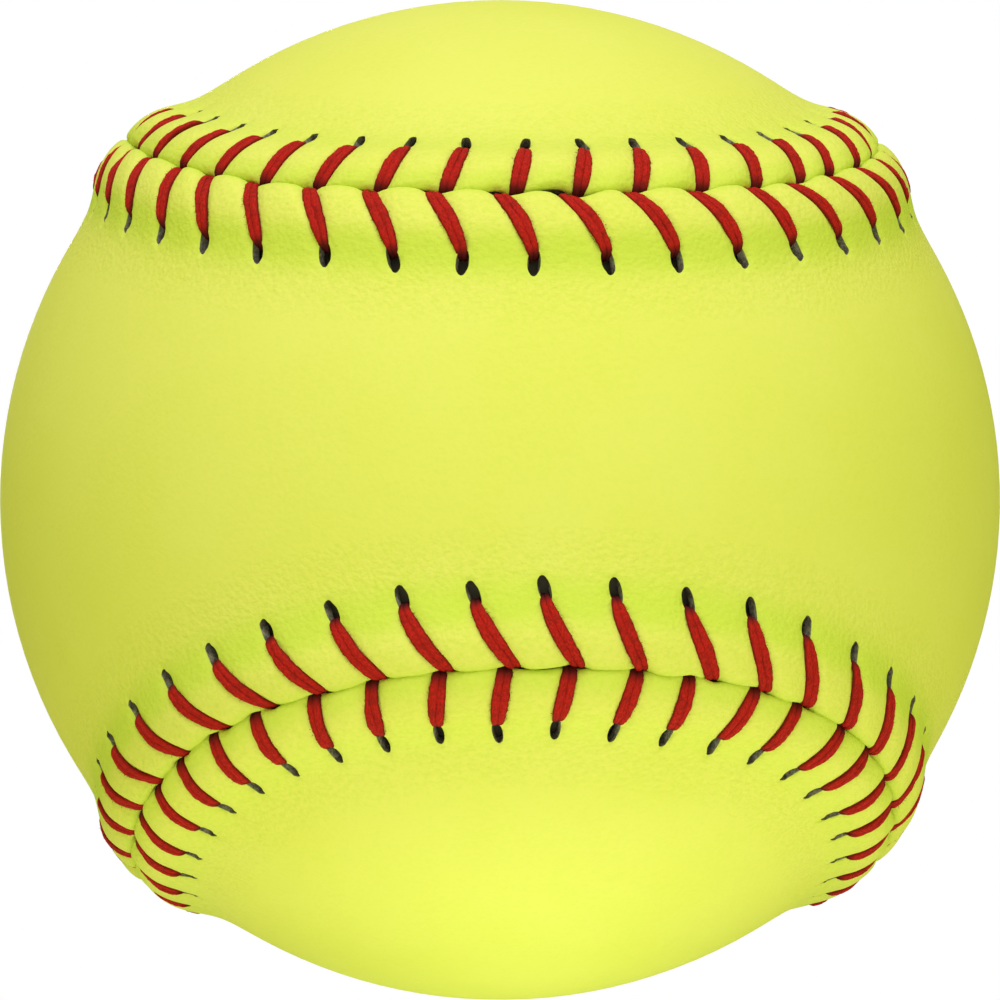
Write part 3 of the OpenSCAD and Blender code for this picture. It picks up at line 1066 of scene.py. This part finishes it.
class FinishProperties(bpy.types.PropertyGroup):
    """Colours of the ball."""

    leather: colour("Leather", (0.745, 0.80, 0.15), "The dyed leather")
    leather_deep: colour("Leather, deep", (0.73, 0.79, 0.13), "The dye where it lies thick")
    # Painted shade: a darker, greener copy of the leather for its hollows, groove edges and creases, also
    # used a little on the rims of the holes
    leather_shade: colour("Leather, hollows", (0.52, 0.73, 0.05), "The dye in the hollows beside the lips")
    raw_edge: colour("Raw edge", (0.30, 0.28, 0.21), "The undyed middle of the leather")
    raw_edge_dark: colour("Raw edge, dark", (0.08, 0.073, 0.055), "Its darker fibres")
    thread: colour("Thread", (0.60, 0.017, 0.010), "The red thread")
    # Also the painted shade on the sides of the plies and between them
    thread_deep: colour("Thread, deep", (0.15, 0.010, 0.006), "Between the fibres of the thread")
    # Painted shade where the thread goes into the holes and the groove and under the front lip
    thread_soil: colour("Thread, soil", (0.09, 0.008, 0.008), "Where the thread is rubbed dark")
    # Painted shade: the cement colours are darkened so that the bottoms of the holes look shaded
    cement: colour("Cement", (0.20, 0.18, 0.13), "The dried cement")
    cement_dark: colour("Cement, dark", (0.10, 0.09, 0.06), "Its streaks")
    # Strengths of the painted shade in each panel's hollows
    front_hollow: share("Front hollow", 0.6, "Depth of the front hollows' dye")
    back_hollow: share("Back hollow", 0.2, "Depth of the back hollows' dye")
    core: colour("Core", (0.72, 0.67, 0.50), "The moulded core")
    core_dark: colour("Core, dark", (0.55, 0.50, 0.36), "Its pores")


class StageProperties(bpy.types.PropertyGroup):
    """Camera, lamps and soft light."""

    distance: length("Distance", 12.46 * BALL_RADIUS, "From the ball's centre to the camera")
    azimuth: angle("Azimuth", -4.8, "Angle of the camera to the right of the front")
    elevation: angle("Elevation", -8.19, "Angle of the camera above the ball's middle")
    roll: angle("Roll", 0.89, "Angle that the camera is turned about its view")
    key: power("Key", 3.9, "Power of the lamp above")
    back_light: power("Back light", 2.6, "Power of the lamp behind")
    world: plain("World", 0.56, "Light from the front and top")
    side_world: plain("Side world", 0.92, "Light from the front's left and right")
    right_world: plain("Right world", 0.19, "Light added at the front's right and taken from its left")
    world_behind: plain("World behind", 0.46, "Light from behind")
    side_behind: plain("Side behind", 0.03, "Light from behind, left and right")
    # Painted light: strengths of the floor's glow, which only diffuse rays see
    front_bounce: plain("Front bounce", 0.34, "Floor's light from the middle of the front")
    wide_floor_glow: plain("Wide bounce", 0.08, "Floor's light added all over the front")
    right_floor_glow: plain("Right bounce", 0.07, "Floor's light added at the front's right")
    floor_glow: plain("Bounce", 0.2, "Floor's light from behind")
    pool: plain("Pool", 0.32, "Floor's light from under the ball")
    floor_white: plain("Floor white", 0.64, "Light that only the camera sees on the floor")


# Operators

class SOFTBALL_OT_stage(bpy.types.Operator):
    """Set up the floor, the lamps and the camera"""

    bl_idname = "softball.stage"
    bl_label = "Stage"

    def execute(self, context):
        stage = context.scene.softball_stage
        bm = bmesh.new()
        bmesh.ops.create_circle(bm, cap_ends=True, segments=64, radius=3)
        bmesh.ops.translate(bm, verts=bm.verts, vec=(0, 0, min(CAD_BOX[0][2], -BALL_RADIUS) - 0.01 * MM))
        floor = finish_piece(bm, "floor", [floor_finish(stage)])
        white_world(stage)
        area_light("key", stage.key, place=(-0.1, -0.45, 0.65), size=0.6, colour=(1, 0.92, 1.25))
        area_light("back light", stage.back_light, place=(0, 0.85, 0.17), size=0.32, colour=(1, 0.95, 1.1))
        self.camera(context, stage)
        context.scene.view_settings.view_transform = "Standard"
        return {"FINISHED"}

    def camera(self, context, stage):
        back = Vector((
            math.sin(stage.azimuth) * math.cos(stage.elevation),
            -math.cos(stage.azimuth) * math.cos(stage.elevation),
            math.sin(stage.elevation),
        ))
        lens = bpy.data.cameras.new("camera")
        # The outline of the ball just fills the frame
        radii = stage.distance / BALL_RADIUS
        lens.lens = lens.sensor_width * math.sqrt(radii ** 2 - 1) / 2
        lens.clip_start = 0.01
        camera = bpy.data.objects.new("camera", lens)
        camera.location = back * stage.distance
        turn = (-back).to_track_quat("-Z", "Y")
        camera.rotation_euler = (turn.to_matrix() @ Matrix.Rotation(-stage.roll, 3, "Z")).to_euler()
        context.scene.collection.objects.link(camera)
        context.scene.camera = camera


class SOFTBALL_OT_leather(bpy.types.Operator):
    """Make the two panels, whose waists face the front and the back"""

    bl_idname = "softball.leather"
    bl_label = "Leather panels"

    def execute(self, context):
        look = context.scene.softball_finish
        raw = raw_leather(look)
        for side in (FRONT, BACK):
            leather_panel(context, side, [cover_leather(look, side), raw])
        return {"FINISHED"}


class SOFTBALL_OT_threads(bpy.types.Operator):
    """Sew the two runs of thread"""

    bl_idname = "softball.threads"
    bl_label = "Threads"

    def execute(self, context):
        material = seam_thread(context.scene.softball_finish)
        thread_run(context, FRONT, "first_thread_run", "first_thread", material)
        thread_run(context, BACK, "second_thread_run", "second_thread", material)
        return {"FINISHED"}


class SOFTBALL_OT_inside(bpy.types.Operator):
    """Finish the core and the cement under the leather"""

    bl_idname = "softball.inside"
    bl_label = "Core and cement"

    def execute(self, context):
        look = context.scene.softball_finish
        for node, material in (("core", core_finish(look)), ("cement_coat", cement_finish(look))):
            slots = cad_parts[node].material_slots
            if not slots:
                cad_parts[node].data.materials.append(material)
            for slot in slots:
                slot.material = material
        return {"FINISHED"}


class SOFTBALL_PT_panel(bpy.types.Panel):
    """Lists the ball's pieces in the sidebar"""

    bl_label = "Softball"
    bl_idname = "SOFTBALL_PT_panel"
    bl_space_type = "VIEW_3D"
    bl_region_type = "UI"
    bl_category = "Softball"

    def draw(self, context):
        for operator in OPERATORS:
            self.layout.operator(operator.bl_idname)
        for name in PROPERTIES:
            group = getattr(context.scene, name)
            box = self.layout.box()
            for key in group.__annotations__:
                box.prop(group, key)


OPERATORS = (
    SOFTBALL_OT_stage,
    SOFTBALL_OT_leather,
    SOFTBALL_OT_threads,
    SOFTBALL_OT_inside,
)
PROPERTIES = {
    "softball_cover": CoverProperties,
    "softball_thread": ThreadProperties,
    "softball_finish": FinishProperties,
    "softball_stage": StageProperties,
}


def register():
    for group in PROPERTIES.values():
        bpy.utils.register_class(group)
    for operator in OPERATORS:
        bpy.utils.register_class(operator)
    bpy.utils.register_class(SOFTBALL_PT_panel)
    for name, group in PROPERTIES.items():
        setattr(bpy.types.Scene, name, PointerProperty(type=group))


def unregister():
    for name in PROPERTIES:
        delattr(bpy.types.Scene, name)
    bpy.utils.unregister_class(SOFTBALL_PT_panel)
    for operator in reversed(OPERATORS):
        bpy.utils.unregister_class(operator)
    for group in reversed(list(PROPERTIES.values())):
        bpy.utils.unregister_class(group)


def main():
    register()
    bpy.ops.softball.stage()
    bpy.ops.softball.leather()
    bpy.ops.softball.threads()
    bpy.ops.softball.inside()


if __name__ == "__main__":
    main()
